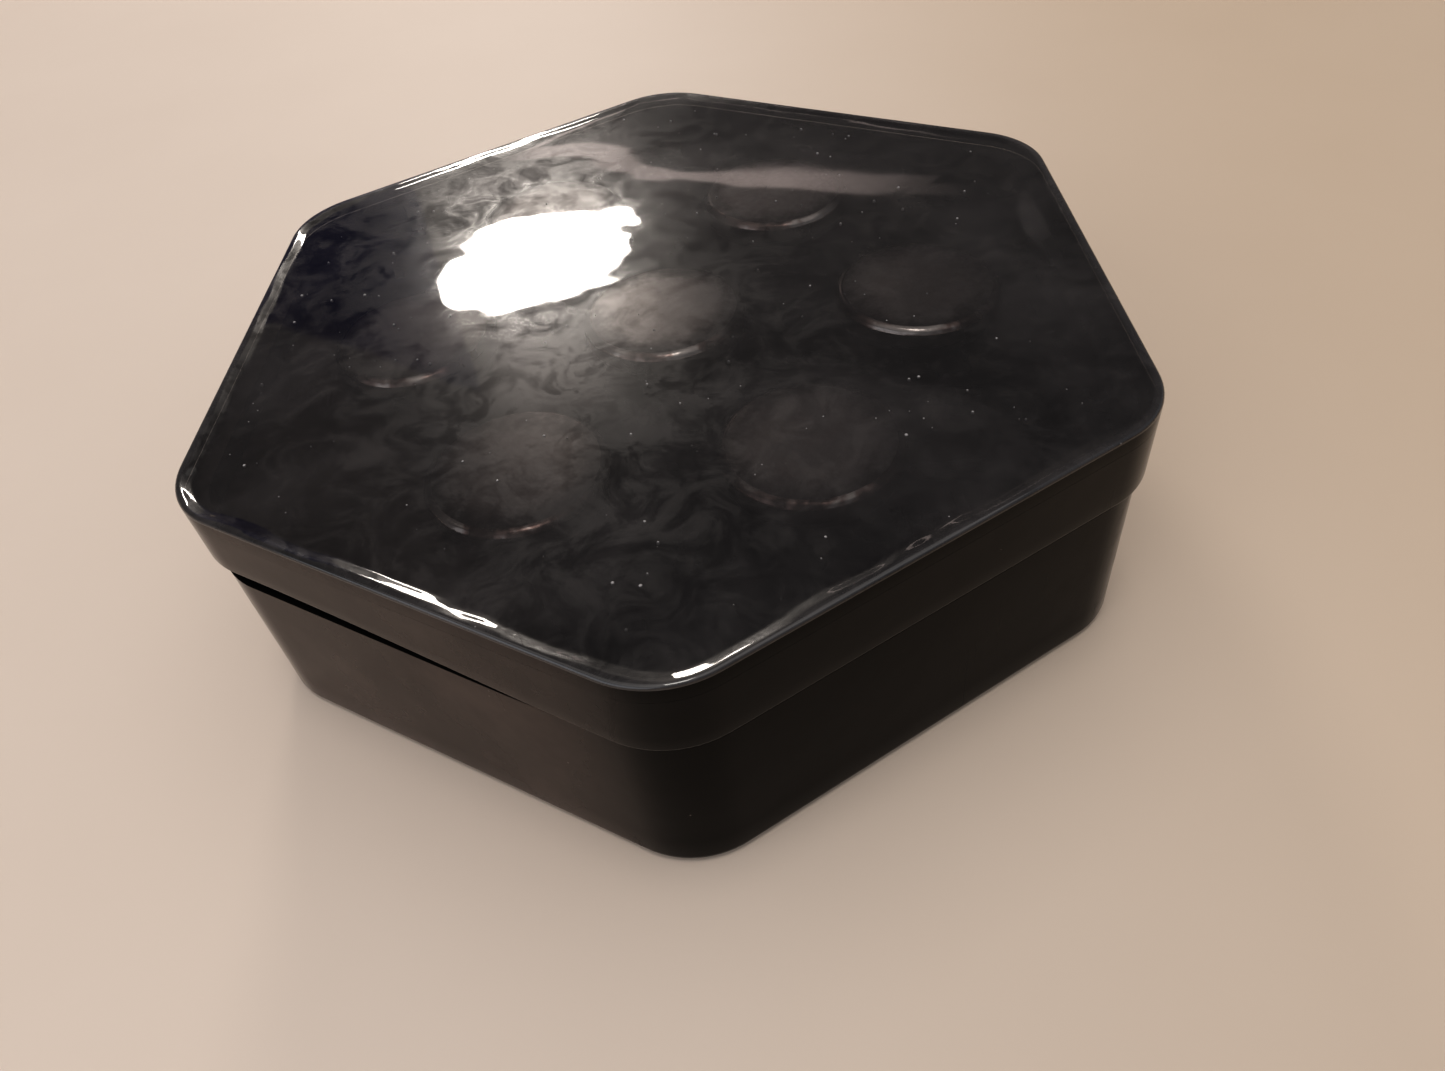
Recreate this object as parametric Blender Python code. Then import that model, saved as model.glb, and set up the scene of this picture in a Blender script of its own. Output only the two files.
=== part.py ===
"""Boxed rosin cake: a hexagonal case with a lift-off lid, and the cake of rosin that it holds.

Metres, +Z up. The origin is at the middle of the case's underside. The hexagon's corners lie on X, so two of
its sides face +Y and -Y. The lid, its clear top layer and the seven tokens under that layer lift off along +Z.
"""

import math

import bmesh
import bpy
from mathutils import Matrix, Vector

# Driving dimensions
CORNER_R = 0.0400          # lid outline: centre to the corner that the two sides would meet in
CORNER_FILLET = 0.0072     # outside radius of the vertical corners
HEIGHT = 0.0214            # whole case
LID_BAND = 0.0066          # height of the lid's side, from the seam to the top
LID_PROUD = 0.0004         # how far the lid's side stands out past the tub's
TOP_ROUND = 0.0010         # rounding of the lid's top edge
FOOT_ROUND = 0.0009        # rounding of the tub's bottom edge
GAP = 0.0003               # clearance between separate pieces

# Tub
TUB_WALL = 0.0026
TUB_FLOOR = 0.0020
LIP_WALL = 0.0012          # the wall's inner part, which rises into the lid
LIP_RISE = 0.0016
LIP_CHAMFER = 0.0003

# Rosin and the felt under it
PAD_THICK = 0.0010
CAKE_TOP = 0.0118
CAKE_SIDE_GAP = 0.0008
CAKE_ROUND = 0.0012

# Lid
TRAY_WALL = 0.0018
TRAY_FLOOR = 0.0013
POUR_DEPTH = 0.0031        # top of the clear layer to its underside
POUR_BRIM = 0.0014         # thickness of the clear layer where it covers the tray's wall

# Tokens
RING_R = 0.0207            # centre of the lid to the centre of each outer token
TOKEN_R = 0.0067
TOKEN_THICK = 0.0018
TOKEN_FOOT = 0.0003        # rounding of the lower edge
TOKEN_SHOULDER = 0.0007    # rounding of the upper edge
TOKEN_COUNT = 6

# Mesh detail
CORNER_STEPS = 8
ROUND_STEPS = 4
TOKEN_SIDES = 36

COS30 = math.cos(math.radians(30))
SEAM_Z = HEIGHT - LID_BAND
POUR_BOTTOM = HEIGHT - POUR_DEPTH
TRAY_TOP = POUR_BOTTOM - GAP
LID_CEILING = TRAY_TOP - TRAY_FLOOR
TUB_R = CORNER_R - LID_PROUD / COS30


def hexagon(inset, z, outline=CORNER_R):
    """Rounded hexagon whose sides lie `inset` inside those of the outline, at height z."""
    radius = outline - inset / COS30
    fillet = max(CORNER_FILLET - inset, 0.0006)
    points = []
    for corner in range(6):
        middle = math.radians(60 * corner)
        centre = radius - fillet / COS30
        for step in range(CORNER_STEPS + 1):
            turn = middle + math.radians(-30 + 60 * step / CORNER_STEPS)
            x = centre * math.cos(middle) + fillet * math.cos(turn)
            y = centre * math.sin(middle) + fillet * math.sin(turn)
            points.append(Vector((x, y, z)))
    return points


def circle(radius, z):
    """Circle of points about Z."""
    points = []
    for side in range(TOKEN_SIDES):
        turn = 2 * math.pi * side / TOKEN_SIDES
        points.append(Vector((radius * math.cos(turn), radius * math.sin(turn), z)))
    return points


def rounding(inset, z, radius, start_deg, end_deg):
    """Inset and height of each step round a quarter turn of the given radius, centred at (inset, z)."""
    steps = []
    for step in range(ROUND_STEPS + 1):
        turn = math.radians(start_deg + (end_deg - start_deg) * step / ROUND_STEPS)
        steps.append((inset - radius * math.cos(turn), z + radius * math.sin(turn)))
    return steps


def loft(name, rings):
    """Closed body through the rings, capped flat at both ends."""
    bm = bmesh.new()
    loops = []
    for ring in rings:
        loops.append([bm.verts.new(point) for point in ring])
    count = len(loops[0])
    for lower, upper in zip(loops, loops[1:]):
        for i in range(count):
            j = (i + 1) % count
            bm.faces.new((lower[i], lower[j], upper[j], upper[i]))
    bm.faces.new(list(reversed(loops[0])))
    bm.faces.new(loops[-1])
    bmesh.ops.recalc_face_normals(bm, faces=bm.faces)
    mesh = bpy.data.meshes.new(name)
    bm.to_mesh(mesh)
    bm.free()
    mesh.shade_smooth()
    mesh.set_sharp_from_angle(angle=math.radians(35))
    return mesh


def material(name, colour, roughness, metallic=0.0):
    """Principled material with one colour."""
    mat = bpy.data.materials.new(name)
    mat.use_nodes = True
    shader = mat.node_tree.nodes["Principled BSDF"]
    shader.inputs["Base Color"].default_value = (*colour, 1.0)
    shader.inputs["Roughness"].default_value = roughness
    shader.inputs["Metallic"].default_value = metallic
    mat.diffuse_color = (*colour, 1.0)
    return mat


def place(name, mesh, mat, parent=None, at=(0, 0, 0)):
    """Named object with its material, at a place in its parent's space."""
    thing = bpy.data.objects.new(name, mesh)
    bpy.context.collection.objects.link(thing)
    thing.data.materials.append(mat)
    thing.location = at
    thing.parent = parent
    return thing


def empty(name, at):
    """Empty that stands on a joint's axis."""
    thing = bpy.data.objects.new(name, None)
    bpy.context.collection.objects.link(thing)
    thing.location = at
    return thing


def sections(pairs, outline=CORNER_R):
    """Hexagons for a list of (inset, height) pairs."""
    return [hexagon(inset, z, outline) for inset, z in pairs]


def base_tub(mat):
    """Lower case: floor, walls, and a thinner lip that rises inside the lid."""
    lip_in = TUB_WALL - LIP_WALL
    lip_top = SEAM_Z + LIP_RISE
    pairs = rounding(FOOT_ROUND, FOOT_ROUND, FOOT_ROUND, -90, 0)
    pairs += [(0, SEAM_Z)]
    pairs += [(lip_in, SEAM_Z), (lip_in, lip_top - LIP_CHAMFER), (lip_in + LIP_CHAMFER, lip_top)]
    pairs += [(TUB_WALL, lip_top), (TUB_WALL, TUB_FLOOR)]
    return place("base_tub", loft("base_tub", sections(pairs, TUB_R)), mat)


def cake_pad(mat):
    """Felt sheet on the tub's floor."""
    inset = TUB_WALL + CAKE_SIDE_GAP
    low = TUB_FLOOR + GAP
    pairs = [(inset, low), (inset, low + PAD_THICK)]
    return place("cake_pad", loft("cake_pad", sections(pairs, TUB_R)), mat)


def rosin_cake(mat):
    """Cast block of rosin with rounded upper edges."""
    inset = TUB_WALL + CAKE_SIDE_GAP
    low = TUB_FLOOR + PAD_THICK + 2 * GAP
    pairs = [(inset, low)]
    pairs += rounding(inset + CAKE_ROUND, CAKE_TOP - CAKE_ROUND, CAKE_ROUND, 0, 90)
    return place("rosin_cake", loft("rosin_cake", sections(pairs, TUB_R)), mat)


def lid_shell(mat, lid):
    """Lid: a skirt that goes over the tub's lip, and above it a shallow tray for the clear layer."""
    skirt_in = LID_PROUD + TUB_WALL - LIP_WALL - GAP
    skirt_foot = SEAM_Z + GAP
    tray_rim = HEIGHT - POUR_BRIM - GAP
    pairs = [(skirt_in, LID_CEILING), (skirt_in, skirt_foot), (0, skirt_foot), (0, tray_rim)]
    pairs += [(TRAY_WALL, tray_rim), (TRAY_WALL, TRAY_TOP)]
    mesh = loft("lid_shell", sections(pairs))
    mesh.transform(Matrix.Translation((0, 0, -SEAM_Z)))
    return place("lid_shell", mesh, mat, lid)


def token_pocket(name, x, y, lid):
    """Cutter for the space that one token fills in the clear layer."""
    low = POUR_BOTTOM - 2 * GAP - SEAM_Z
    high = POUR_BOTTOM + TOKEN_THICK + GAP - SEAM_Z
    mesh = loft(name, [circle(TOKEN_R + GAP, low), circle(TOKEN_R + GAP, high)])
    cutter = bpy.data.objects.new(name, mesh)
    bpy.context.collection.objects.link(cutter)
    cutter.location = (x, y, 0)
    cutter.parent = lid
    cutter.hide_render = True
    cutter.display_type = "WIRE"
    return cutter


def lid_top_pour(mat, lid, centres):
    """Clear layer: a plug in the tray, a brim over the tray's wall, and a pocket for each token."""
    plug_in = TRAY_WALL + GAP
    brim_low = HEIGHT - POUR_BRIM
    pairs = [(plug_in, POUR_BOTTOM), (plug_in, brim_low), (0, brim_low)]
    pairs += rounding(TOP_ROUND, HEIGHT - TOP_ROUND, TOP_ROUND, 0, 90)
    mesh = loft("lid_top_pour", sections(pairs))
    mesh.transform(Matrix.Translation((0, 0, -SEAM_Z)))
    pour = place("lid_top_pour", mesh, mat, lid)
    for number, (x, y) in enumerate(centres):
        cut = pour.modifiers.new(f"pocket_{number}", "BOOLEAN")
        cut.operation = "DIFFERENCE"
        cut.solver = "EXACT"
        cut.object = token_pocket(f"pocket_cutter_{number}", x, y, lid)
    return pour


def token_mesh():
    """Round token with a flat face and a softly rounded upper edge."""
    profile = [(TOKEN_R - TOKEN_FOOT, 0), (TOKEN_R, TOKEN_FOOT)]
    for inset, z in rounding(TOKEN_SHOULDER, TOKEN_THICK - TOKEN_SHOULDER, TOKEN_SHOULDER, 0, 90):
        profile.append((TOKEN_R - inset, z))
    return loft("token", [circle(radius, z) for radius, z in profile])


def tokens(mat, lid, centres):
    """One token in the middle and one towards each side, all sharing a mesh."""
    mesh = token_mesh()
    low = POUR_BOTTOM - SEAM_Z
    for number, (x, y) in enumerate(centres):
        name = f"disc_{number}" if number else "disc_centre"
        token = bpy.data.objects.new(name, mesh)
        bpy.context.collection.objects.link(token)
        token.location = (x, y, low)
        token.parent = lid
    mesh.materials.append(mat)


def token_centres():
    """Middle of each token, the centre one first."""
    centres = [(0.0, 0.0)]
    for number in range(TOKEN_COUNT):
        turn = math.radians(30 + 360 * number / TOKEN_COUNT)
        centres.append((RING_R * math.cos(turn), RING_R * math.sin(turn)))
    return centres


def main():
    for thing in list(bpy.data.objects):
        bpy.data.objects.remove(thing, do_unlink=True)
    black = material("black_plastic", (0.012, 0.011, 0.010), 0.18)
    lid_black = material("lid_plastic", (0.012, 0.011, 0.010), 0.15)
    smoke = material("smoky_clear", (0.010, 0.011, 0.014), 0.04)
    token = material("token_metal", (0.16, 0.12, 0.11), 0.35, 0.6)
    rosin = material("rosin", (0.060, 0.020, 0.006), 0.12)
    felt = material("felt", (0.055, 0.010, 0.014), 0.95)
    base_tub(black)
    cake_pad(felt)
    rosin_cake(rosin)
    lid = empty("lid_axis", (0, 0, SEAM_Z))
    centres = token_centres()
    lid_shell(lid_black, lid)
    lid_top_pour(smoke, lid, centres)
    tokens(token, lid, centres)


main()
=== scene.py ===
"""Looks for the boxed rosin cake: black hexagonal case, clear top over seven tokens, rosin inside."""

import math
import random

import bmesh
import bpy
import numpy as np
from mathutils import Euler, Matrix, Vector, noise


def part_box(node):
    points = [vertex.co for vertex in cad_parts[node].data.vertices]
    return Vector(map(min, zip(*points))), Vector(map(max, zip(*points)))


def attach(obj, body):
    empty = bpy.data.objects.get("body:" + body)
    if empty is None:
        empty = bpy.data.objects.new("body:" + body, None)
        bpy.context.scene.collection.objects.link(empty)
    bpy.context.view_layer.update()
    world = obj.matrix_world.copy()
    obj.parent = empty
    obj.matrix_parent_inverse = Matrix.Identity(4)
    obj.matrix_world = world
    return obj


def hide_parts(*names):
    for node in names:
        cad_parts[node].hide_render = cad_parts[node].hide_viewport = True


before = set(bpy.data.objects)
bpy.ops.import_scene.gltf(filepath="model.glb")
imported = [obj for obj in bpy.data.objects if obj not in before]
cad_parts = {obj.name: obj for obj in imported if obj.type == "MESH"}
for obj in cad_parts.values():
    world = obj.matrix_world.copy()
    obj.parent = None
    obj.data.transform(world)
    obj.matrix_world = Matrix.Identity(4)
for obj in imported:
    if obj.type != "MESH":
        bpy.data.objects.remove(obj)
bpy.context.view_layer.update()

# Metres throughout, in the CAD's own frame.
COS30 = math.cos(math.radians(30))
MM = 0.001

# Places read from the frame
POUR_LOW, POUR_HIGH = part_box("lid_top_pour")
TUB_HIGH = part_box("base_tub")[1]
CAKE_LOW, CAKE_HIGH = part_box("rosin_cake")
PAD_LOW, PAD_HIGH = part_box("cake_pad")
TOP = POUR_HIGH.z
LID_APOTHEM = POUR_HIGH.y
TUB_APOTHEM = TUB_HIGH.y
LID_R = LID_APOTHEM / COS30
FILLET = (LID_R - POUR_HIGH.x) / (1 / COS30 - 1)

# Mesh detail round the hexagon
ARC_STEPS = 14
SIDE_STEPS = 26

# Tub
TUB_SHOULDER = TUB_HIGH.z - 1.6 * MM
TUB_WALL = 2.6 * MM
LIP_INSET = 1.4 * MM
TUB_FLOOR = 2.0 * MM
FOOT_ROUND = 0.9 * MM
EDGE_ROUND = 0.25 * MM
SHOULDER_ROUND = 0.45 * MM
LIP_FOOT = 0.15 * MM        # chamfer where the lip rises from the shoulder
LIP_ROUND = 0.3 * MM
FLOOR_CORNER = 0.5 * MM     # chamfer where the inside of the wall meets the floor
TUB_WAVE = 0.030 * MM

# Lid
TRAY_WALL = 1.8 * MM
TRAY_TOP = POUR_LOW.z - 0.3 * MM
CEILING = TRAY_TOP - 1.3 * MM
SKIRT_IN = 1.5 * MM
SKIRT_ROUND = 0.35 * MM
CEILING_CORNER = 0.4 * MM
LID_WAVE = 0.020 * MM
BRIM_LOW = TOP - 1.4 * MM
SEAM_TIGHT = 0.05 * MM      # gap under the skirt at the front and right
SEAM_OPEN = 1.25 * MM       # and at the left corner

# Bead: the clear layer stands a little higher along its edge, and drops inwards from there
BEAD_ROUND = 0.26 * MM      # rounding of the outer edge
BEAD_WIDTH = 1.0 * MM
BEAD_WANDER = 0.34 * MM     # how far the bead's inner side strays
BEAD_UNEVEN = 0.28          # share by which its drop varies along the edge
BEAD_DROPS = {              # drop at each side, named by the way that side faces in degrees from X
    30: 0.080 * MM,
    90: 0.056 * MM,
    150: 0.188 * MM,
    210: 0.174 * MM,
    270: 0.152 * MM,
    330: 0.090 * MM,
}
BEAD_CORNER = 0.135 * MM    # further drop at the left corner
BEAD_LEVEL = 0.13 * MM      # drop that all sides share away from the edge

# Waves in the clear layer, highest round one place. Each kind is (height, size, share left far away).
WAVES_AT = (-3 * MM, 12 * MM)
WAVES_REACH = 11 * MM
SWELL = (0.028 * MM, 11 * MM, 0.30)
CHOP = (0.034 * MM, 5.2 * MM, 0.05)
FINE = (0.010 * MM, 2.3 * MM, 0.04)
WAVE_ROOM = 0.04 * MM       # the top is lowered by this, so that no wave rises past the CAD's top
BUBBLE_COUNT = 170

# How clean each token's face is: 1 is bare metal, 0 is tarnished
TOKEN_SHEEN = {
    "disc_centre": 0.90,
    "disc_1": 1.00,
    "disc_2": 0.70,
    "disc_3": 0.25,
    "disc_4": 0.55,
    "disc_5": 1.00,
    "disc_6": 0.85,
}

# Painted light: the black plastic is lighter grey on the left, for its brighter reflection there, and
# plain past these two places on X
PAINTED_LIGHT_TO = -26 * MM
PAINTED_LIGHT_FROM = -20 * MM
WARM_GREY = (1.0, 0.76, 0.65)

# Painted shade: the tokens' rims are dark on this side, away from the front, so only their near side shows
# a highlight
TOKEN_FAR = Vector((0.55, 0.835))

# Painted glow: a soft pale patch in the clear layer's colour, beside the lamp's reflection, between the
# middle token and the front-left one
PAINTED_GLOW_AT = (-12 * MM, -4 * MM, TOP)
PAINTED_GLOW_CORE = 1.5 * MM
PAINTED_GLOW_REACH = 7.5 * MM

# Rosin and felt. The bow has worn a track along Y in the rosin
TRACK_X = 2.0 * MM
TRACK_REACH = 5.5 * MM
TRACK_DEPTH = 0.55 * MM
CAKE_FOOT = 0.4 * MM
CAKE_ROUND = 1.2 * MM
PAD_ROUND = 0.3 * MM

# Studio: each lamp is (place, size, radiance)
LAMP_AT = (0.148, 0.490, 0.307)
LAMP = (LAMP_AT, (0.130, 0.054), 22.0)
LAMP_ROLL = 5
CEILING_LAMP = ((0, 0, 1.5), (2.0, 2.0), 0.52)
OVERHEAD = ((-0.05, -0.12, 1.25), (0.22, 0.50), 6.5)
WINDOW = ((-1.10, -0.30, 0.62), (1.5, 1.0), 0.85)
CAMERA_AT = (-0.03044, -0.06600, 0.06728)
CAMERA_TURN = (44.00, 5.31, -32.07)
LENS = 25.76
SENSOR = 36.0

# Room, as reflections see it. Across and above are a direction's X and Z over its Y.
ROOM_NEAR = (0.32, 0.32, 0.33)
ROOM_FAR = (0.205, 0.190, 0.184)
GLOW = (0.34, 0.31, 0.28)
GLOW_CORE = 2               # degrees from the lamp's middle that are full of glow
GLOW_REACH = 12             # and degrees where it has gone
PANEL = (0.050, 0.050, 0.100)
PANEL_SIDE = 0.208          # the panel ends here, going across
PANEL_TOP = 0.505           # and here, going up less across
RAIL = (1.85, 1.56, 1.46)
RAIL_RISE = 0.417           # the rail climbs this much for each unit across
RAIL_HEIGHT = 0.344
RAIL_HALF = (0.006, 0.011)  # half its thickness, from where it starts to fade to where it is gone
RAIL_LEFT = (0.30, 0.36)    # it fades in from left to right over the first, and out over the second
RAIL_RIGHT = (0.62, 0.98)

# Floor: flat out to a radius, then rising. Its tone turns from pale to browner along one direction:
# painted light and shade, darker and warmer to the right.
FLOOR_FLAT = 1.1
FLOOR_RISE = 0.35
FLOOR_TONE_WAY = (0.844, -0.529)
FLOOR_PALE = -0.03
FLOOR_BROWN = 0.09


def rounded_hexagon(apothem, fillet):
    """Points round a hexagon with two sides facing Y, as an N x 2 array. N is the same for any size."""
    centre = (apothem - fillet) / COS30
    arcs = []
    for corner in range(6):
        middle = math.radians(60 * corner)
        turns = middle + np.radians(np.linspace(-30, 30, ARC_STEPS + 1))
        x = centre * math.cos(middle) + fillet * np.cos(turns)
        y = centre * math.sin(middle) + fillet * np.sin(turns)
        arcs.append(np.stack([x, y], 1))
    points = []
    for corner in range(6):
        start = arcs[corner][-1]
        end = arcs[(corner + 1) % 6][0]
        shares = np.linspace(0, 1, SIDE_STEPS + 1)[1:-1, None]
        points.append(arcs[corner])
        points.append(start + (end - start) * shares)
    return np.concatenate(points)


def hex_ring(apothem, inset, z):
    """One ring of the hexagon, set in from its outline, at height z."""
    fillet = max(FILLET - inset, 0.5 * MM)
    flat = rounded_hexagon(apothem - inset, fillet)
    return np.column_stack([flat, np.full(len(flat), z)])


def round_ring(radius, z, sides=96):
    """One circle about Z."""
    turns = np.linspace(0, 2 * math.pi, sides, endpoint=False)
    return np.column_stack([radius * np.cos(turns), radius * np.sin(turns), np.full(sides, z)])


def quarter(centre_inset, centre_z, radius, start, end, steps=5):
    """(inset, z) pairs round an arc. 0 degrees points outwards, 90 up, 180 inwards."""
    pairs = []
    for turn in np.radians(np.linspace(start, end, steps + 1)):
        pairs.append((centre_inset - radius * math.cos(turn), centre_z + radius * math.sin(turn)))
    return pairs


def inner_rings(ring, count, last=0.03):
    """Smaller copies of a ring, down to nearly a point, for a face that is capped flat."""
    rings = []
    for share in np.linspace(1, last, count + 1)[1:]:
        inner = ring.copy()
        inner[:, :2] *= share
        rings.append(inner)
    return rings


def skin(name, rings, sharp=40):
    """Closed mesh through the rings, with a fan of triangles to the middle at each end."""
    count = len(rings[0])
    points = np.concatenate(rings)
    faces = []
    index = np.arange(count)
    after = (index + 1) % count
    for row in range(len(rings) - 1):
        low = row * count
        high = low + count
        faces += np.column_stack([low + index, low + after, high + after, high + index]).tolist()
    first_middle = len(points)
    last_row = (len(rings) - 1) * count
    middles = [rings[0].mean(0), rings[-1].mean(0)]
    faces += [(first_middle, int(j), int(i)) for i, j in zip(index, after)]
    faces += [(first_middle + 1, last_row + int(i), last_row + int(j)) for i, j in zip(index, after)]
    mesh = bpy.data.meshes.new(name)
    mesh.from_pydata(np.concatenate([points, middles]).tolist(), [], faces)
    bm = bmesh.new()
    bm.from_mesh(mesh)
    bmesh.ops.recalc_face_normals(bm, faces=bm.faces)
    bm.to_mesh(mesh)
    bm.free()
    mesh.shade_smooth()
    mesh.set_sharp_from_angle(angle=math.radians(sharp))
    return mesh


def piece(name, mesh, body, slot, materials, *replaced):
    """Puts a mesh in the scene on its CAD body."""
    thing = bpy.data.objects.new(name, mesh)
    bpy.context.scene.collection.objects.link(thing)
    for mat in materials:
        mesh.materials.append(mat)
    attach(thing, body)
    if replaced:
        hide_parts(*replaced)
    return thing


def displace(mesh, shift):
    """Moves every vertex by shift(point)."""
    for vertex in mesh.vertices:
        vertex.co += shift(vertex.co)
    mesh.update()


def smooth(share):
    """Smooth step from 0 to 1."""
    share = min(max(share, 0.0), 1.0)
    return share * share * (3 - 2 * share)


def hex_reach(point):
    """Distance from the hexagon's middle, measured square to its nearest side."""
    return max(abs(point.y), abs(point.x * COS30 + point.y * 0.5), abs(point.x * COS30 - point.y * 0.5))


def edge_inset(point):
    """Distance of a point on the lid in from its rounded outline."""
    core = LID_APOTHEM - FILLET
    turn = math.radians(60 * round(math.degrees(math.atan2(point.y, point.x)) / 60))
    towards = Vector((math.cos(turn), math.sin(turn)))
    away = Vector((point.x, point.y)) - towards * core / COS30
    if away.dot(towards) > away.length * COS30:
        return FILLET - away.length
    return LID_APOTHEM - hex_reach(point)


def ripple(point, size, seed):
    """Smooth noise from -1 to 1 whose bumps are about `size` across."""
    return noise.noise(Vector((point.x, point.y, point.z)) / size + Vector((seed, -seed, 2 * seed)))


# ---------------------------------------------------------------- materials

class Nodes:
    """Short ways to add nodes to one tree."""

    def __init__(self, tree, place="Object"):
        self.nodes = tree.nodes
        self.links = tree.links
        self.place = self.nodes.new("ShaderNodeTexCoord").outputs[place]

    def node(self, kind, **settings):
        made = self.nodes.new(kind)
        for key, value in settings.items():
            setattr(made, key, value)
        return made

    def put(self, source, target):
        """Links an output, or sets a plain value."""
        if isinstance(source, bpy.types.NodeSocket):
            self.links.new(source, target)
        else:
            target.default_value = source

    def stretched(self, scale=(1, 1, 1), turn=(0, 0, 0)):
        """Object coordinates turned and then stretched."""
        turned = self.node("ShaderNodeMapping", vector_type="POINT")
        self.put(self.place, turned.inputs["Vector"])
        turned.inputs["Rotation"].default_value = [math.radians(a) for a in turn]
        made = self.node("ShaderNodeMapping", vector_type="POINT")
        self.put(turned.outputs[0], made.inputs["Vector"])
        made.inputs["Scale"].default_value = scale
        return made.outputs[0]

    def noise(self, size, detail=3.0, rough=0.5, at=None, warp=0.0):
        """Noise whose features are about `size` metres across."""
        made = self.node("ShaderNodeTexNoise")
        self.put(at or self.place, made.inputs["Vector"])
        made.inputs["Scale"].default_value = 1 / size
        made.inputs["Detail"].default_value = detail
        made.inputs["Roughness"].default_value = rough
        made.inputs["Distortion"].default_value = warp
        return made.outputs["Fac"]

    def cells(self, size, feature="F1", at=None):
        """Voronoi cells about `size` metres across."""
        made = self.node("ShaderNodeTexVoronoi", feature=feature)
        self.put(at or self.place, made.inputs["Vector"])
        made.inputs["Scale"].default_value = 1 / size
        return made.outputs["Distance"]

    def span(self, value, low, high, to_low=0.0, to_high=1.0):
        """Maps low..high smoothly to to_low..to_high, clamped."""
        made = self.node("ShaderNodeMapRange", interpolation_type="SMOOTHSTEP")
        self.put(value, made.inputs["Value"])
        made.inputs["From Min"].default_value = low
        made.inputs["From Max"].default_value = high
        made.inputs["To Min"].default_value = to_low
        made.inputs["To Max"].default_value = to_high
        return made.outputs["Result"]

    def attribute(self, name):
        """Value that the mesh carries at each vertex."""
        return self.node("ShaderNodeAttribute", attribute_name=name).outputs["Fac"]

    def place_on(self, axis):
        """X, Y or Z of the place."""
        split = self.node("ShaderNodeSeparateXYZ")
        self.put(self.place, split.inputs[0])
        return split.outputs[axis]

    def maths(self, operation, a, b=0.0):
        made = self.node("ShaderNodeMath", operation=operation)
        self.put(a, made.inputs[0])
        self.put(b, made.inputs[1])
        return made.outputs[0]

    def mix(self, share, a, b):
        """Colour a where share is 0 and b where it is 1."""
        made = self.node("ShaderNodeMix", data_type="RGBA")
        self.put(share, made.inputs["Factor"])
        self.put((*a, 1) if isinstance(a, tuple) else a, made.inputs[6])
        self.put((*b, 1) if isinstance(b, tuple) else b, made.inputs[7])
        return made.outputs[2]

    def scratches(self, size, turn, thin=0.012, share=0.55):
        """Fine straight scratches running one way, 1 on a scratch and 0 elsewhere."""
        long_way = self.stretched((1, 0.035, 0.035), (0, 0, turn))
        lines = self.cells(size, "DISTANCE_TO_EDGE", at=long_way)
        on_line = self.span(lines, 0.0, thin, 1.0, 0.0)
        patches = self.span(self.noise(6 * size, 2), share, share + 0.08)
        return self.maths("MULTIPLY", on_line, patches)


class Paint(Nodes):
    """One Principled material."""

    def __init__(self, name, colour, roughness, **sockets):
        self.mat = bpy.data.materials.new(name)
        self.mat.use_nodes = True
        super().__init__(self.mat.node_tree)
        self.shader = self.nodes["Principled BSDF"]
        self.shader.inputs["Base Color"].default_value = (*colour, 1)
        self.shader.inputs["Roughness"].default_value = roughness
        for socket, value in sockets.items():
            self.shader.inputs[socket].default_value = value
        self.bumps = None

    def bump(self, height, depth, strength=1.0):
        """Adds a bump `depth` metres deep on top of those before it."""
        made = self.node("ShaderNodeBump")
        made.inputs["Strength"].default_value = strength
        made.inputs["Distance"].default_value = depth
        self.put(height, made.inputs["Height"])
        if self.bumps:
            self.put(self.bumps, made.inputs["Normal"])
        self.bumps = made.outputs[0]
        self.put(self.bumps, self.shader.inputs["Normal"])

    def set(self, socket, source):
        self.put(source, self.shader.inputs[socket])


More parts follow.
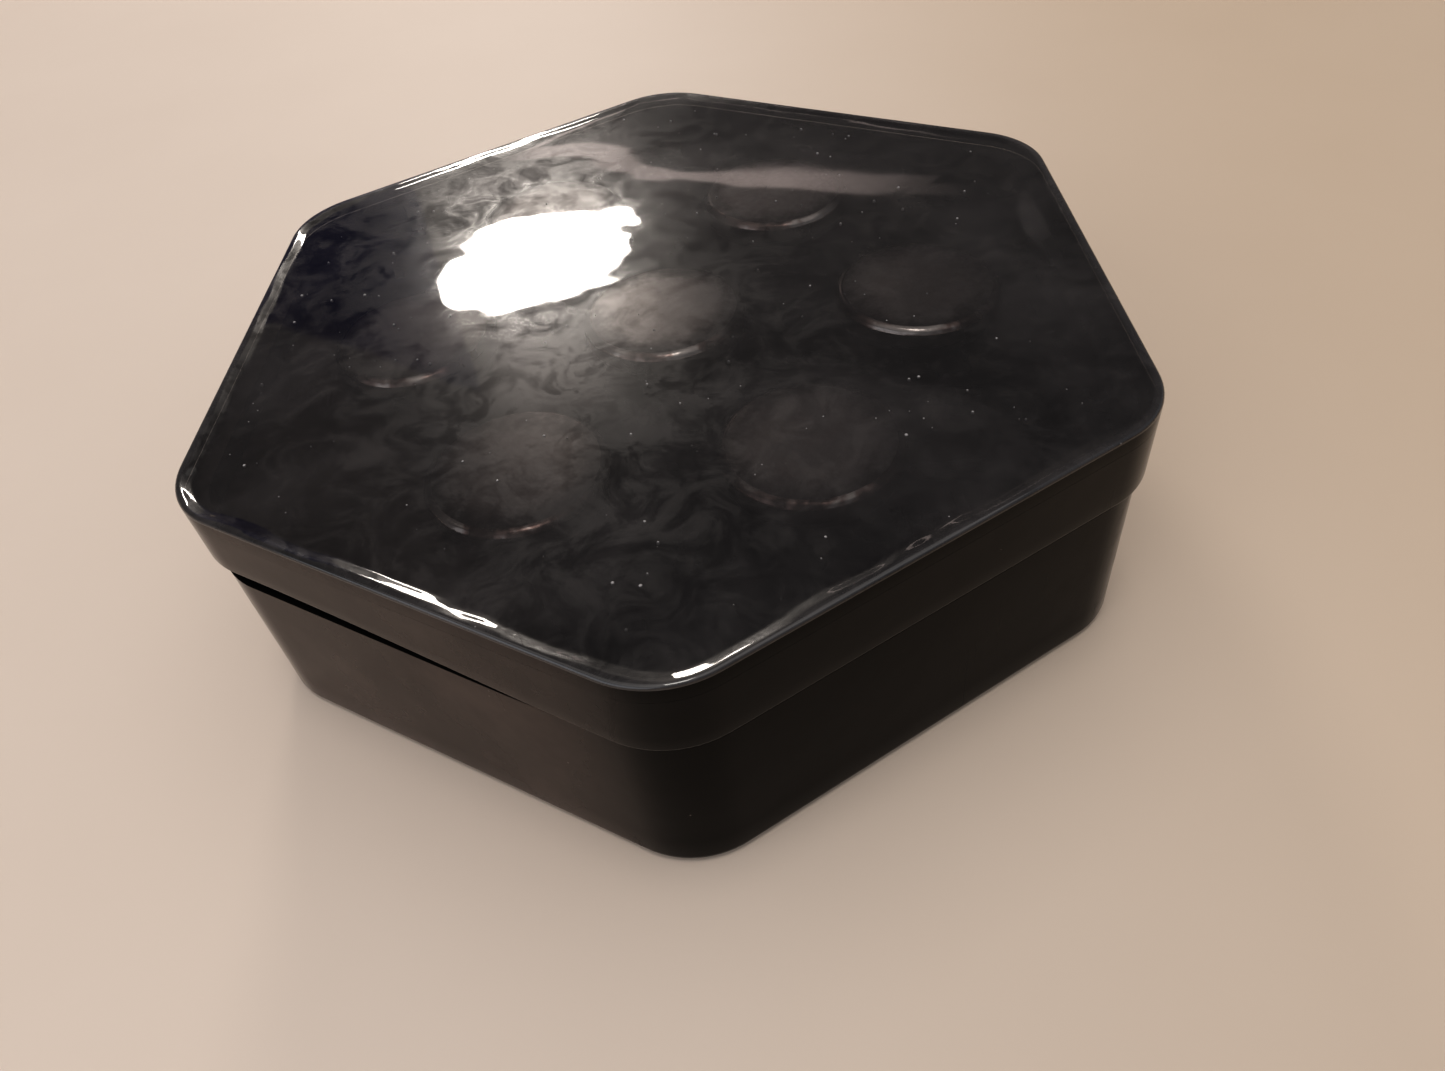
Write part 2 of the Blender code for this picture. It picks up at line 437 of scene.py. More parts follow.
def gloss_black(name, colour, inner=False, shine=0.19, grey=0.050):
    """Moulded black plastic: faint marbling, hairline scratches, dust, painted lighter grey at the left
    for the brighter reflection there, and painted shade in the open seam.
    """
    paint = Paint(name, colour, 0.14, IOR=1.5)
    paint.shader.inputs["Specular IOR Level"].default_value = shine
    haze = paint.noise(9 * MM, 5, 0.6)
    fine = paint.noise(0.35 * MM, 2)
    # Painted light: lighter warm grey on the left, for the brighter reflection on that side
    painted_left_light = paint.span(paint.place_on("X"), PAINTED_LIGHT_TO, PAINTED_LIGHT_FROM, 1.0, 0.0)
    clean = paint.mix(paint.span(haze, 0.40, 0.75), tuple(0.3 * c for c in colour), colour)
    dull = tuple(0.76 * grey * c for c in WARM_GREY)
    left_lit_high = tuple(1.24 * grey * c for c in WARM_GREY)
    left_lit = paint.mix(paint.span(haze, 0.35, 0.75), dull, left_lit_high)
    tone = paint.mix(painted_left_light, clean, left_lit)
    specks = paint.span(paint.cells(1.3 * MM), 0.035, 0.065, 1.0, 0.0)
    some = paint.span(paint.noise(2.6 * MM, 1), 0.58, 0.66)
    dust = paint.maths("MULTIPLY", specks, some)
    tone = paint.mix(dust, tone, (0.13, 0.11, 0.095))
    # Painted shade: near-black and matt wherever the mesh marks the seam under the lid as open
    painted_seam_shade = paint.attribute("painted_seam_shade")
    tone = paint.mix(painted_seam_shade, tone, (0.0006, 0.0005, 0.0005))
    paint.set("Base Color", tone)
    rough = paint.span(haze, 0.35, 0.75, 0.08, 0.38 if inner else 0.20)
    lines = paint.maths("MAXIMUM", paint.scratches(2.2 * MM, 24), paint.scratches(3.1 * MM, -51))
    smears = paint.noise(2.4 * MM, 4, 0.6, at=paint.stretched((1, 1, 0.22), (38, 0, 24)))
    rough = paint.maths("ADD", rough, paint.span(smears, 0.50, 0.72, 0.0, 0.10))
    rough = paint.maths("ADD", rough, paint.maths("MULTIPLY", lines, 0.10))
    rough = paint.maths("ADD", rough, paint.maths("MULTIPLY", dust, 0.4))
    rough = paint.maths("MAXIMUM", rough, painted_seam_shade)
    paint.set("Roughness", rough)
    paint.bump(paint.noise(5 * MM, 2), 0.030 * MM)
    paint.bump(fine, 0.0012 * MM)
    paint.bump(lines, 0.0012 * MM)
    return paint.mat


def smoky_top():
    """Poured clear layer: sharp gloss over a clouded, nearly black body, with specks, scratches and a
    painted glow beside the lamp's reflection.
    """
    paint = Paint("smoky_top", (0.006, 0.006, 0.007), 0.34, IOR=1.5)
    paint.shader.inputs["Specular IOR Level"].default_value = 0.38
    paint.shader.inputs["Coat Weight"].default_value = 1.0
    paint.shader.inputs["Coat Roughness"].default_value = 0.025
    paint.shader.inputs["Coat IOR"].default_value = 1.6
    clouds = paint.noise(13 * MM, 5, 0.62, warp=0.4)
    wisps = paint.noise(4 * MM, 6, 0.68, warp=1.2)
    mottle = paint.noise(0.9 * MM, 4, 0.6)
    tone = paint.mix(paint.span(clouds, 0.35, 0.72), (0.0080, 0.0074, 0.0088), (0.0290, 0.0262, 0.0272))
    tone = paint.mix(paint.span(wisps, 0.50, 0.80, 0, 0.60), tone, (0.046, 0.040, 0.040))
    tone = paint.mix(paint.span(mottle, 0.50, 0.72, 0, 0.40), tone, (0.034, 0.030, 0.032))
    specks = paint.span(paint.cells(1.1 * MM), 0.040, 0.075, 1.0, 0.0)
    some = paint.span(paint.noise(3.4 * MM, 1), 0.55, 0.68)
    specks = paint.maths("MULTIPLY", specks, some)
    # Painted glow beside the lamp's reflection: pale, fading out from one place and broken up by the wisps
    glow_distance = paint.node("ShaderNodeVectorMath", operation="DISTANCE")
    paint.put(paint.place, glow_distance.inputs[0])
    glow_distance.inputs[1].default_value = PAINTED_GLOW_AT
    painted_glow = paint.span(glow_distance.outputs["Value"], PAINTED_GLOW_CORE, PAINTED_GLOW_REACH, 1.0, 0.0)
    painted_glow = paint.maths("MULTIPLY", painted_glow, wisps)
    tone = paint.mix(painted_glow, tone, (0.150, 0.135, 0.130))
    tone = paint.mix(specks, tone, (0.24, 0.23, 0.23))
    inset = paint.attribute("inset")
    on_edge = paint.span(inset, 0.25 * MM, 0.75 * MM, 1.0, 0.0)
    ragged = paint.maths("ADD", paint.cells(6.5 * MM), paint.span(mottle, 0.3, 0.7, -0.03, 0.03))
    on_edge = paint.maths("MULTIPLY", on_edge, paint.span(paint.place_on("Y"), -2 * MM, 4 * MM))
    nicks = paint.maths("MULTIPLY", on_edge, paint.span(ragged, 0.05, 0.08, 1.0, 0.0))
    tone = paint.mix(nicks, tone, (0.36, 0.34, 0.31))
    paint.set("Base Color", tone)
    alpha = paint.span(clouds, 0.30, 0.75, 0.60, 0.76)
    alpha = paint.maths("MAXIMUM", alpha, paint.span(inset, 0.3 * MM, 1.6 * MM, 1.0, 0.0))
    alpha = paint.maths("MAXIMUM", alpha, paint.maths("MAXIMUM", specks, nicks))
    paint.set("Alpha", alpha)
    paint.set("Roughness", paint.span(wisps, 0.36, 0.68, 0.15, 0.44))
    lengthways = paint.scratches(2.6 * MM, 8, 0.010, 0.60)
    crossways = paint.scratches(3.4 * MM, 66, 0.010, 0.60)
    paint.bump(paint.maths("MAXIMUM", lengthways, crossways), 0.003 * MM)
    return paint.mat


def pour_underside():
    """Faces of the clear layer that touch the tray: nearly invisible, with a faint cloudy stain."""
    paint = Paint("pour_underside", (0.01, 0.01, 0.01), 0.9)
    paint.shader.inputs["Specular IOR Level"].default_value = 0.0
    clouds = paint.noise(5 * MM, 4)
    paint.set("Base Color", paint.mix(clouds, (0.010, 0.009, 0.009), (0.030, 0.027, 0.026)))
    paint.set("Alpha", paint.span(clouds, 0.3, 0.7, 0.02, 0.10))
    return paint.mat


def token_finish():
    """The token's face: dull grey metal, hazed and stained, darker towards its edge."""
    paint = Paint("token_face", (0.2, 0.18, 0.175), 0.42, Metallic=1.0)
    stains = paint.noise(2.8 * MM, 5, 0.65)
    reach = paint.attribute("reach")
    tone = paint.mix(paint.span(stains, 0.35, 0.70), (0.470, 0.430, 0.420), (0.330, 0.285, 0.270))
    tone = paint.mix(paint.attribute("sheen"), (0.045, 0.036, 0.034), tone)
    edge = paint.span(paint.maths("ADD", reach, paint.span(stains, 0.2, 0.8, -0.12, 0.12)), 0.52, 0.96)
    paint.set("Base Color", paint.mix(edge, tone, (0.045, 0.036, 0.034)))
    paint.set("Roughness", paint.span(stains, 0.3, 0.7, 0.29, 0.38))
    paint.bump(paint.noise(0.4 * MM, 3), 0.006 * MM)
    return paint.mat


def copper_rim():
    """The token's edge: dark and coppery, worn bright in places, with painted shade darkening its far
    side.
    """
    paint = Paint("token_rim", (0.5, 0.3, 0.22), 0.25, Metallic=1.0)
    worn = paint.noise(3.2 * MM, 3, 0.6)
    tone = paint.mix(paint.span(worn, 0.42, 0.52), (0.070, 0.048, 0.042), (0.36, 0.255, 0.230))
    tone = paint.mix(paint.span(worn, 0.50, 0.58), tone, (0.88, 0.80, 0.76))
    # Painted shade: the rim is painted darker on its far side, away from the front
    tone = paint.mix(paint.span(paint.attribute("near"), 0.70, 0.95), (0.030, 0.022, 0.020), tone)
    paint.set("Base Color", tone)
    paint.set("Roughness", paint.span(worn, 0.3, 0.7, 0.30, 0.16))
    paint.bump(paint.noise(0.5 * MM, 2), 0.012 * MM)
    return paint.mat


def bubble_finish():
    """Trapped air: pale and shiny."""
    paint = Paint("bubble_finish", (0.34, 0.33, 0.33), 0.3)
    paint.set("Roughness", paint.span(paint.noise(0.3 * MM, 2), 0.3, 0.7, 0.22, 0.40))
    return paint.mat


def rosin_finish():
    """Dark amber rosin: glassy where fresh, with pale dust where the bow has worn it."""
    paint = Paint("rosin_finish", (0.05, 0.014, 0.004), 0.1, IOR=1.54)
    depth = paint.noise(8 * MM, 4, 0.55, warp=0.6)
    tone = paint.mix(paint.span(depth, 0.3, 0.75), (0.020, 0.0050, 0.0014), (0.100, 0.030, 0.007))
    powder = paint.noise(2.2 * MM, 6, 0.7, at=paint.stretched((1, 0.22, 1)))
    dust = paint.span(powder, 0.52, 0.72)
    off_track = paint.maths("ABSOLUTE", paint.maths("SUBTRACT", paint.place_on("X"), TRACK_X))
    near = paint.span(off_track, 3.0 * MM, 9.0 * MM, 1.0, 0.12)
    dust = paint.maths("MULTIPLY", dust, near)
    paint.set("Base Color", paint.mix(dust, tone, (0.52, 0.38, 0.22)))
    paint.set("Roughness", paint.span(dust, 0.0, 0.8, 0.09, 0.75))
    hair = paint.noise(0.28 * MM, 2, at=paint.stretched((1, 0.03, 1)))
    paint.bump(hair, 0.020 * MM, 0.5)
    paint.bump(paint.noise(1.4 * MM, 4), 0.02 * MM)
    return paint.mat


def felt_finish():
    """Dark red felt with matted fibres."""
    paint = Paint("felt_finish", (0.06, 0.010, 0.013), 0.95)
    paint.shader.inputs["Sheen Weight"].default_value = 0.5
    paint.shader.inputs["Sheen Roughness"].default_value = 0.5
    fibres = paint.noise(0.25 * MM, 6, 0.75, warp=2.0)
    tone = paint.mix(paint.span(fibres, 0.3, 0.7), (0.035, 0.006, 0.008), (0.110, 0.020, 0.026))
    paint.set("Base Color", tone)
    paint.bump(fibres, 0.12 * MM)
    return paint.mat


# ---------------------------------------------------------------- pieces

def make_tub(outer, inner):
    """Lower case with soft edges, very slightly wavy walls and the lip that locates the lid."""
    pairs = quarter(FOOT_ROUND, FOOT_ROUND, FOOT_ROUND, -90, 0, 6)
    wall_top = TUB_SHOULDER - SHOULDER_ROUND
    climb = np.linspace(FOOT_ROUND, wall_top, 8)[1:-1]
    pairs += [(0, z) for z in climb]
    pairs += [(0, wall_top - 0.04 * MM)]
    pairs += quarter(SHOULDER_ROUND, wall_top, SHOULDER_ROUND, 0, 90)
    pairs += [(LIP_INSET - LIP_FOOT, TUB_SHOULDER), (LIP_INSET, TUB_SHOULDER + LIP_FOOT)]
    lip_side = TUB_HIGH.z - LIP_ROUND
    pairs += quarter(LIP_INSET + LIP_ROUND, lip_side, LIP_ROUND, 0, 90)
    pairs += quarter(TUB_WALL - LIP_ROUND, lip_side, LIP_ROUND, 90, 180)
    pairs += [(TUB_WALL, z) for z in np.linspace(lip_side, TUB_FLOOR + FLOOR_CORNER, 6)[1:]]
    pairs += [(TUB_WALL + FLOOR_CORNER, TUB_FLOOR)]
    rings = [hex_ring(TUB_APOTHEM, inset, z) for inset, z in pairs]
    under = inner_rings(rings[0], 5)
    floor = inner_rings(rings[-1], 5)
    mesh = skin("tub", under[::-1] + rings + floor)

    def shift(point):
        side = Vector((point.x, point.y, 0)).normalized()
        on_wall = 1.0 if FOOT_ROUND < point.z < TUB_SHOULDER else 0.0
        return side * (-TUB_WAVE * on_wall * (0.5 + 0.5 * ripple(point, 9 * MM, 3)))

    displace(mesh, shift)
    thing = piece("tub", mesh, "case_body", "case_black", [outer, inner], "base_tub")
    # Painted shade for the open seam: above the shoulder, lip top and inside too, the tub is painted
    # near-black where the gap under the skirt is wide
    painted_seam_shade = mesh.attributes.new("painted_seam_shade", "FLOAT", "POINT")
    for vertex, shade in zip(mesh.vertices, painted_seam_shade.data):
        shade.value = 0.0
        if vertex.co.z > wall_top - 0.02 * MM:
            shade.value = smooth((seam_gap(vertex.co.x, vertex.co.y) - 0.15 * MM) / (0.25 * MM))
    inside = TUB_APOTHEM - TUB_WALL + 0.05 * MM
    for face in mesh.polygons:
        if hex_reach(face.center) < inside and face.center.z > 0.5 * TUB_FLOOR:
            face.material_index = 1
    return thing


def seam_gap(x, y):
    """Gap under the lid's skirt: widest at the left, less behind, and tight at the front and right."""
    along = (-0.5 * x + COS30 * y) / LID_R
    share = smooth((along + 0.45) / 0.80)
    behind = smooth(y / (0.45 * LID_R))
    return SEAM_TIGHT + (SEAM_OPEN - SEAM_TIGHT) * share * (1 - 0.65 * behind)


def make_lid_case(outer, tray):
    """Lid: skirt, outer band and the tray under the clear layer."""
    foot = TUB_SHOULDER
    pairs = [(SKIRT_IN + CEILING_CORNER, CEILING), (SKIRT_IN, CEILING - CEILING_CORNER)]
    pairs += quarter(SKIRT_IN - EDGE_ROUND, foot + EDGE_ROUND, EDGE_ROUND, 180, 270)
    pairs += quarter(SKIRT_ROUND, foot + SKIRT_ROUND, SKIRT_ROUND, -90, 0, 6)
    band_top = BRIM_LOW - 0.02 * MM
    climb = np.linspace(foot + SKIRT_ROUND, band_top, 6)[1:]
    pairs += [(0, z) for z in climb]
    pairs += [(TRAY_WALL, band_top), (TRAY_WALL, TRAY_TOP)]
    rings = [hex_ring(LID_APOTHEM, inset, z) for inset, z in pairs]
    ceiling = inner_rings(rings[0], 5)
    floor = inner_rings(rings[-1], 5)
    mesh = skin("lid_case", ceiling[::-1] + rings + floor)
    top = BRIM_LOW - 0.1 * MM

    def shift(point):
        side = Vector((point.x, point.y, 0)).normalized()
        outside = hex_reach(point) > LID_APOTHEM - 0.9 * SKIRT_IN
        near_foot = min(max((top - point.z) / (top - foot), 0.0), 1.0)
        lift = seam_gap(point.x, point.y)
        if point.z > CEILING - 0.2 * MM:
            lift *= near_foot * near_foot
        if not outside and point.z > CEILING - 0.5 * MM:
            lift = 0.0
        wave = 0.0
        if outside and point.z < top:
            wave = -LID_WAVE * (0.5 + 0.5 * ripple(point, 7 * MM, 11))
        return side * wave + Vector((0, 0, lift))

    displace(mesh, shift)
    thing = piece("lid_case", mesh, "lid_body", "lid_black", [outer, tray], "lid_shell")
    for face in mesh.polygons:
        if face.center.z > TRAY_TOP - 0.1 * MM and face.normal.z > 0.5:
            face.material_index = 1
    return thing


def bead_fall(share):
    """Share of the bead's drop reached at a share of its width: an even slope that eases in and out."""
    ease_in, ease_out = 0.15, 0.30
    share = min(max(share, 0.0), 1.0)
    if share < ease_in:
        fallen = share * share / (2 * ease_in)
    elif share < 1 - ease_out:
        fallen = share - ease_in / 2
    else:
        fallen = 1 - ease_in / 2 - ease_out / 2 - (1 - share) ** 2 / (2 * ease_out)
    return fallen / (1 - ease_in / 2 - ease_out / 2)


def bead_drop(x, y, inset):
    """How far the bead drops inwards: its own amount at each side, and one level for the lid's middle."""
    total, weights = 0.0, 0.0
    reach = hex_reach(Vector((x, y, 0)))
    blend = 1.2 * MM + 0.35 * inset
    for side, drop in BEAD_DROPS.items():
        turn = math.radians(side)
        weight = math.exp((x * math.cos(turn) + y * math.sin(turn) - reach) / blend)
        total += weight * drop
        weights += weight
    corner = math.exp(-((x + LID_R) ** 2 + y * y) / (6.5 * MM) ** 2)
    level = total / weights + BEAD_CORNER * corner
    return level + (BEAD_LEVEL - level) * smooth((inset - 2 * MM) / (12 * MM))


def pour_height(x, y):
    """Swells, chop and fine waves of the clear layer's top, below the level that it may reach."""
    rough = math.exp(-((x - WAVES_AT[0]) ** 2 + (y - WAVES_AT[1]) ** 2) / WAVES_REACH ** 2)
    waves = -WAVE_ROOM
    for (height, size, least), seed in ((SWELL, 5), (CHOP, 9), (FINE, 17)):
        waves += height * ripple(Vector((x, y, 0)), size, seed) * (least + (1 - least) * rough)
    return waves


def make_pour(mat, under_mat, side_mat):
    """Clear layer: plug, brim, rounded edge, a low bead just inside it, and a gently wavy top."""
    plug = TRAY_WALL + 0.02 * MM
    pairs = [(plug, POUR_LOW.z), (plug, BRIM_LOW), (0, BRIM_LOW)]
    pairs += quarter(BEAD_ROUND, TOP - BEAD_ROUND, BEAD_ROUND, 0, 90, 7)
    steps = np.linspace(0, 1, 17)[1:]
    pairs += [(BEAD_ROUND + (BEAD_WIDTH + BEAD_WANDER) * s, TOP) for s in steps]
    rings = [hex_ring(LID_APOTHEM, inset, z) for inset, z in pairs]
    under = inner_rings(rings[0], 4)
    top = inner_rings(rings[-1], 64, 0.012)
    mesh = skin("clear_top", under[::-1] + rings + top, 60)

    def shift(point):
        if point.z < TOP - BEAD_ROUND:
            return Vector((0, 0, 0))
        inset = edge_inset(point)
        flat = Vector((point.x, point.y, 0))
        wander = BEAD_WANDER * min(max(3.0 * ripple(flat, 3.2 * MM, 21) - 0.5, -1.0), 0.0)
        wander *= smooth((inset - BEAD_ROUND) / (0.25 * MM))
        inside = bead_fall((inset + wander - BEAD_ROUND) / BEAD_WIDTH)
        waves = smooth((inset - BEAD_ROUND) / (2.4 * BEAD_WIDTH)) * pour_height(point.x, point.y)
        on_bead = 1 - smooth((inset - BEAD_ROUND) / (2.5 * BEAD_WIDTH))
        uneven = BEAD_UNEVEN * ripple(flat, 2.6 * MM, 77) * on_bead
        return Vector((0, 0, waves - inside * (1 + uneven) * bead_drop(point.x, point.y, inset)))

    displace(mesh, shift)
    inset = mesh.attributes.new("inset", "FLOAT", "POINT")
    for vertex, depth in zip(mesh.vertices, inset.data):
        depth.value = edge_inset(vertex.co)
    thing = piece("clear_top", mesh, "lid_body", "smoky_clear", [mat, under_mat, side_mat], "lid_top_pour")
    for face in mesh.polygons:
        if face.center.z > TOP - BEAD_ROUND + 0.02 * MM:
            continue
        if face.center.z < BRIM_LOW + 0.01 * MM:
            face.material_index = 1
        elif abs(face.normal.z) < 0.5:
            face.material_index = 2
    return thing


def token_profile(radius, thick):
    """(radius, z) round half of a token's section: rounded foot, side, soft shoulder, domed face."""
    foot, shoulder, dome = 0.30 * MM, 0.70 * MM, 0.06 * MM
    high = thick - dome - shoulder
    turned = []
    for turn in np.radians(np.linspace(-90, 0, 5)):
        turned.append((radius - foot + foot * math.cos(turn), foot + foot * math.sin(turn)))
    for turn in np.radians(np.linspace(0, 90, 13)):
        turned.append((radius - shoulder + shoulder * math.cos(turn), high + shoulder * math.sin(turn)))
    for share in np.linspace(1, 0.06, 15)[1:]:
        turned.append(((radius - shoulder) * share, thick - dome * share * share))
    return turned


def make_token(node, *mats):
    """One token under the clear layer."""
    low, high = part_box(node)
    middle = (low + high) / 2
    radius = (high.x - low.x) / 2
    rings = [round_ring(r, low.z + z, 144) for r, z in token_profile(radius, high.z - low.z)]
    for ring in rings:
        ring[:, 0] += middle.x
        ring[:, 1] += middle.y
    name = node.replace("disc", "token")
    mesh = skin(name, rings, 60)

    def shift(point):
        out = Vector((point.x - middle.x, point.y - middle.y, 0))
        worn = min(max((out.length - 0.80 * radius) / (0.1 * radius), 0.0), 1.0)
        return Vector((0, 0, -0.035 * MM * worn * (1 + ripple(point, 1.3 * MM, 61))))

    displace(mesh, shift)
    thing = piece(name, mesh, "lid_body", "token", mats, node)
    reach = mesh.attributes.new("reach", "FLOAT", "POINT")
    near = mesh.attributes.new("near", "FLOAT", "POINT")
    sheen = mesh.attributes.new("sheen", "FLOAT", "POINT")
    for value in sheen.data:
        value.value = TOKEN_SHEEN[node]
    for vertex, share, front in zip(mesh.vertices, reach.data, near.data):
        away = Vector((vertex.co.x - middle.x, vertex.co.y - middle.y))
        share.value = away.length / radius
        front.value = 0.5 - 0.5 * away.normalized().dot(TOKEN_FAR)
    for face in mesh.polygons:
        away = math.hypot(face.center.x - middle.x, face.center.y - middle.y)
        if away > radius - 0.75 * MM:
            face.material_index = 1 if face.normal.z > 0.35 else 2
    return thing


def make_bubbles(mat):
    """Pinprick bubbles near the clear layer's surface, thicker in some patches than in others."""
    chance = random.Random(7)
    bm = bmesh.new()
    made = 0
    while made < BUBBLE_COUNT:
        x = chance.uniform(-LID_R, LID_R)
        y = chance.uniform(-LID_APOTHEM, LID_APOTHEM)
        if hex_reach(Vector((x, y, 0))) > LID_APOTHEM - 3.2 * MM:
            continue
        if ripple(Vector((x, y, 0)), 9 * MM, 31) < chance.uniform(-0.5, 0.35):
            continue
        radius = chance.choice((0.05, 0.06, 0.08, 0.11, 0.15)) * MM
        inset = edge_inset(Vector((x, y, TOP)))
        surface = TOP - bead_drop(x, y, inset) + pour_height(x, y)
        z = surface - radius * chance.uniform(0.35, 0.9)
        turned = bmesh.ops.create_icosphere(bm, subdivisions=1, radius=radius)
        bmesh.ops.translate(bm, verts=turned["verts"], vec=(x, y, z))
        made += 1
    mesh = bpy.data.meshes.new("trapped_bubbles")
    bm.to_mesh(mesh)
    bm.free()
    mesh.shade_smooth()
    return piece("trapped_bubbles", mesh, "lid_body", "smoky_clear", [mat])


def make_cake(mat):
    """Rosin: cast block with a rounded edge, a shallow bow track and slight dimples."""
    inset = TUB_APOTHEM - CAKE_HIGH.y
    side_low = CAKE_LOW.z + CAKE_FOOT
    side_high = CAKE_HIGH.z - CAKE_ROUND
    pairs = quarter(inset + CAKE_FOOT, side_low, CAKE_FOOT, -90, 0)
    pairs += [(inset, z) for z in np.linspace(side_low, side_high, 5)[1:-1]]
    pairs += quarter(inset + CAKE_ROUND, side_high, CAKE_ROUND, 0, 90, 8)
    rings = [hex_ring(TUB_APOTHEM, i, z) for i, z in pairs]
    under = inner_rings(rings[0], 4)
    mesh = skin("rosin_block", under[::-1] + rings + inner_rings(rings[-1], 44, 0.02), 60)

    def shift(point):
        if point.z < side_high:
            return Vector((0, 0, 0))
        worn = math.exp(-(((point.x - TRACK_X) / TRACK_REACH) ** 2))
        track = -TRACK_DEPTH * worn
        dimple = 0.05 * MM * (ripple(point, 5 * MM, 41) - 1.0)
        return Vector((0, 0, track + dimple))

    displace(mesh, shift)
    return piece("rosin_block", mesh, "case_body", "rosin", [mat], "rosin_cake")


def make_pad(mat):
    """Felt under the rosin."""
    inset = TUB_APOTHEM - PAD_HIGH.y
    pairs = quarter(inset + PAD_ROUND, PAD_LOW.z + PAD_ROUND, PAD_ROUND, -90, 0)
    pairs += quarter(inset + PAD_ROUND, PAD_HIGH.z - PAD_ROUND, PAD_ROUND, 0, 90)
    rings = [hex_ring(TUB_APOTHEM, i, z) for i, z in pairs]
    mesh = skin("felt_pad", inner_rings(rings[0], 12)[::-1] + rings + inner_rings(rings[-1], 12), 70)

    def shift(point):
        side = Vector((point.x, point.y, 0)).normalized()
        return side * (-0.05 * MM * (1 + ripple(point, 0.9 * MM, 51)))

    displace(mesh, shift)
    thing = piece("felt_pad", mesh, "case_body", "pad_felt", [mat], "cake_pad")
    return thing


# ---------------------------------------------------------------- stage

def area_light(name, placing, colour, shape="RECTANGLE", roll=0):
    """Soft box facing the middle of the lid's top. Its placing is (place, size, radiance)."""
    at, size, radiance = placing
    aim = (0, 0, TOP)
    data = bpy.data.lights.new(name, "AREA")
    data.shape = shape
    data.size, data.size_y = size
    data.color = colour
    area = size[0] * size[1] * (math.pi / 4 if shape == "ELLIPSE" else 1)
    data.energy = radiance * area * math.pi
    lamp = bpy.data.objects.new(name, data)
    bpy.context.scene.collection.objects.link(lamp)
    lamp.location = at
    facing = (Vector(aim) - Vector(at)).to_track_quat("-Z", "Y")
    lamp.rotation_euler = (facing @ Euler((0, 0, math.radians(roll))).to_quaternion()).to_euler()
    lamp.visible_camera = False


def make_floor():
    """Pale floor that curves up into a low wall all round."""
    rings = [round_ring(radius, 0.0) for radius in (0.15, 0.4, 0.8, FLOOR_FLAT)]
    for turn in np.radians(np.linspace(0, 90, 13))[1:]:
        radius = FLOOR_FLAT + FLOOR_RISE * math.sin(turn)
        rings.append(round_ring(radius, FLOOR_RISE * (1 - math.cos(turn))))
    count = len(rings[0])
    faces = [list(range(count))]
    for row in range(len(rings) - 1):
        for i in range(count):
            j = (i + 1) % count
            faces.append([row * count + i, (row + 1) * count + i, (row + 1) * count + j, row * count + j])
    mesh = bpy.data.meshes.new("floor")
    mesh.from_pydata(np.concatenate(rings).tolist(), [], faces)
    mesh.shade_smooth()
    floor = bpy.data.objects.new("floor", mesh)
    bpy.context.scene.collection.objects.link(floor)
    paint = Paint("floor_paint", (0.60, 0.53, 0.47), 0.6)
    grain = paint.noise(30 * MM, 3)
    # Painted light and shade: the floor is darker and browner towards the right
    by_x = paint.maths("MULTIPLY", paint.place_on("X"), FLOOR_TONE_WAY[0])
    by_y = paint.maths("MULTIPLY", paint.place_on("Y"), FLOOR_TONE_WAY[1])
    rightwards = paint.span(paint.maths("ADD", by_x, by_y), FLOOR_PALE, FLOOR_BROWN)
    left = paint.mix(grain, (0.670, 0.580, 0.505), (0.700, 0.610, 0.535))
    right = paint.mix(grain, (0.560, 0.455, 0.355), (0.585, 0.480, 0.380))
    paint.set("Base Color", paint.mix(rightwards, left, right))
    mesh.materials.append(paint.mat)


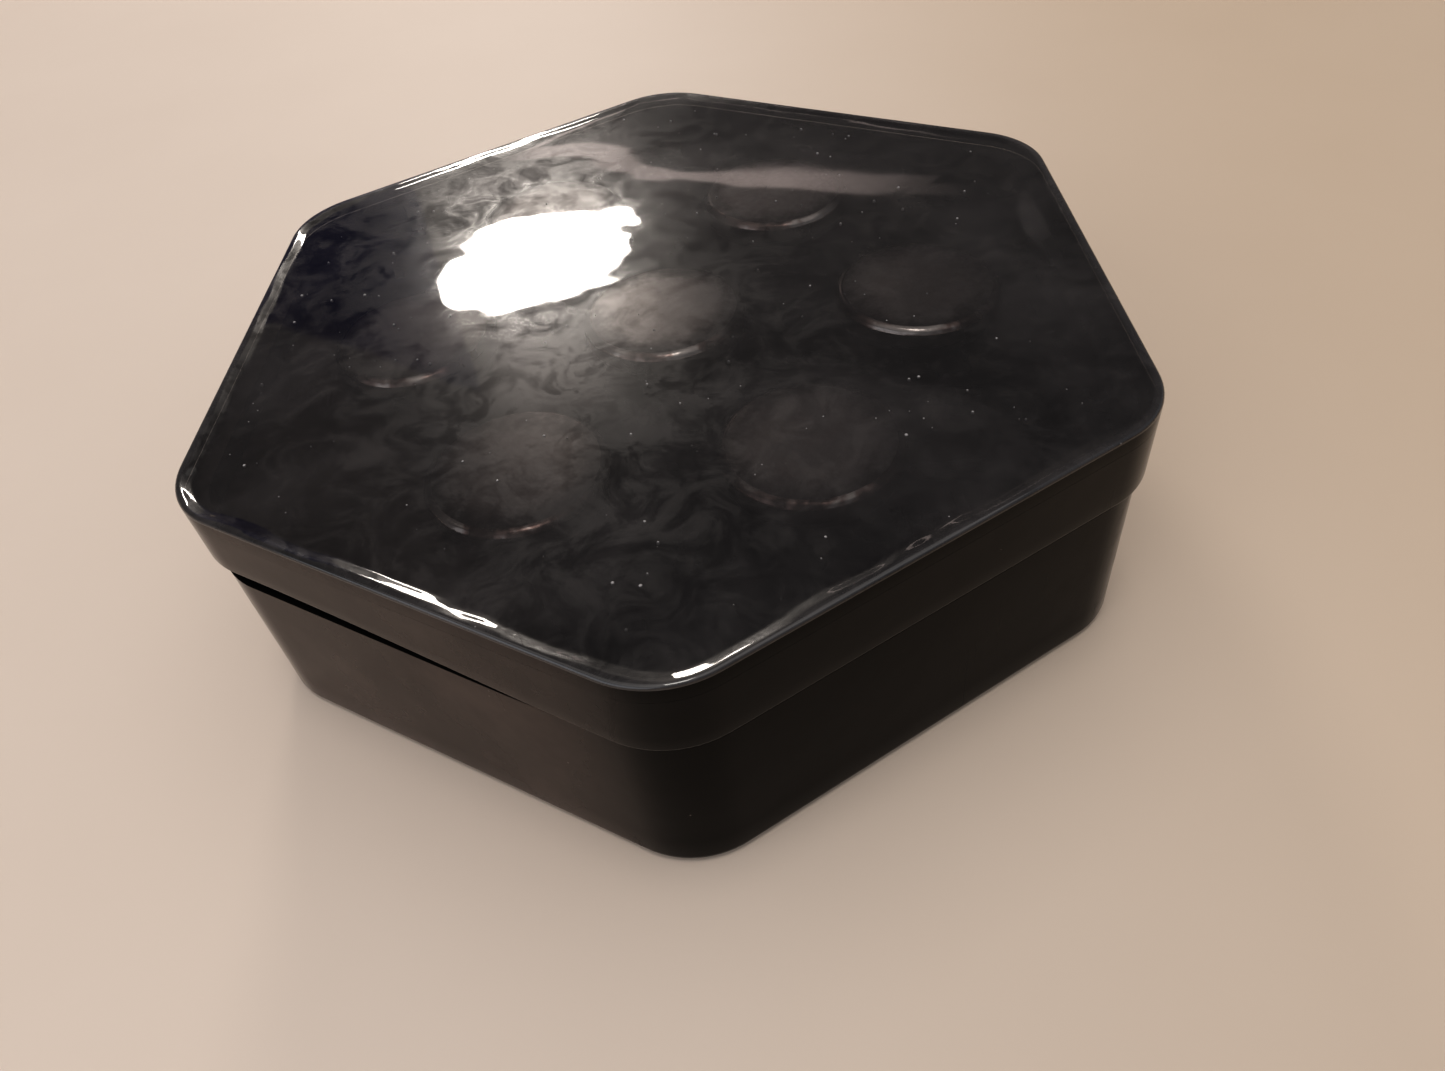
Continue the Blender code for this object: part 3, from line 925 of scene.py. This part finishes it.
def make_room():
    """Dim warm room, for reflections: glow round the lamp, a dark bluish panel and a thin bright rail."""
    world = bpy.data.worlds.new("room")
    bpy.context.scene.world = world
    world.use_nodes = True
    room = Nodes(world.node_tree, "Generated")
    split = room.node("ShaderNodeSeparateXYZ")
    room.put(room.place, split.inputs[0])
    east, north, up = split.outputs
    ahead = room.span(north, 0.0, 0.1)
    far_side = room.span(north, 0.05, 0.45)
    across = room.maths("DIVIDE", east, room.maths("MAXIMUM", north, 0.02))
    above = room.maths("DIVIDE", up, room.maths("MAXIMUM", north, 0.02))
    towards = room.node("ShaderNodeVectorMath", operation="DOT_PRODUCT")
    room.put(room.place, towards.inputs[0])
    towards.inputs[1].default_value = Vector(LAMP_AT).normalized()
    faint, full = (math.cos(math.radians(a)) for a in (GLOW_REACH, GLOW_CORE))
    glow = room.span(towards.outputs["Value"], faint, full)
    tone = room.mix(far_side, ROOM_NEAR, ROOM_FAR)
    tone = room.mix(glow, tone, GLOW)
    panel_side = room.span(across, PANEL_SIDE, PANEL_SIDE + 0.008, 1.0, 0.0)
    slant = room.maths("SUBTRACT", above, across)
    panel_top = room.span(slant, PANEL_TOP, PANEL_TOP + 0.012, 1.0, 0.0)
    panel = room.maths("MULTIPLY", ahead, room.maths("MULTIPLY", panel_side, panel_top))
    tone = room.mix(panel, tone, PANEL)
    rail_line = room.maths("SUBTRACT", above, room.maths("MULTIPLY", across, RAIL_RISE))
    off_rail = room.maths("ABSOLUTE", room.maths("SUBTRACT", rail_line, RAIL_HEIGHT))
    rail = room.span(off_rail, *RAIL_HALF, 1.0, 0.0)
    left_end = room.span(across, *RAIL_LEFT)
    right_end = room.span(across, *RAIL_RIGHT, 1.0, 0.0)
    rail_ends = room.maths("MULTIPLY", left_end, right_end)
    rail = room.maths("MULTIPLY", ahead, room.maths("MULTIPLY", rail, rail_ends))
    tone = room.mix(rail, tone, RAIL)
    back = room.nodes["Background"]
    room.put(tone, back.inputs["Color"])
    back.inputs["Strength"].default_value = 1.0


def make_studio():
    """Soft boxes and the camera."""
    area_light("lamp", LAMP, (1.0, 0.93, 0.86), "ELLIPSE", LAMP_ROLL)
    area_light("ceiling", CEILING_LAMP, (1.0, 0.96, 0.92))
    area_light("overhead", OVERHEAD, (1.0, 0.95, 0.90))
    area_light("window", WINDOW, (0.93, 0.95, 1.0))
    camera = bpy.data.cameras.new("camera")
    camera.sensor_width = SENSOR
    camera.lens = LENS
    camera.clip_start = 0.002
    camera.clip_end = 20
    holder = bpy.data.objects.new("camera", camera)
    bpy.context.scene.collection.objects.link(holder)
    holder.location = CAMERA_AT
    holder.rotation_euler = Euler([math.radians(a) for a in CAMERA_TURN])
    bpy.context.scene.camera = holder
    view = bpy.context.scene.view_settings
    view.view_transform = "Standard"
    view.look = "High Contrast"


def main():
    """Materials, pieces and stage."""
    black = gloss_black("case_gloss", (0.0034, 0.0028, 0.0024), shine=0.14, grey=0.066)
    inside = gloss_black("case_inside", (0.0050, 0.0044, 0.0040), inner=True)
    lid_black = gloss_black("lid_gloss", (0.0036, 0.0030, 0.0027))
    tray = gloss_black("tray_satin", (0.0050, 0.0050, 0.0055), inner=True)
    face_mat = token_finish()
    rim_mat = copper_rim()
    side_mat = gloss_black("token_side", (0.010, 0.007, 0.006), inner=True)
    make_tub(black, inside)
    make_pad(felt_finish())
    make_cake(rosin_finish())
    make_lid_case(lid_black, tray)
    make_pour(smoky_top(), pour_underside(), lid_black)
    for node in sorted(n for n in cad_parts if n.startswith("disc_")):
        make_token(node, face_mat, rim_mat, side_mat)
    make_bubbles(bubble_finish())
    make_floor()
    make_room()
    make_studio()


main()
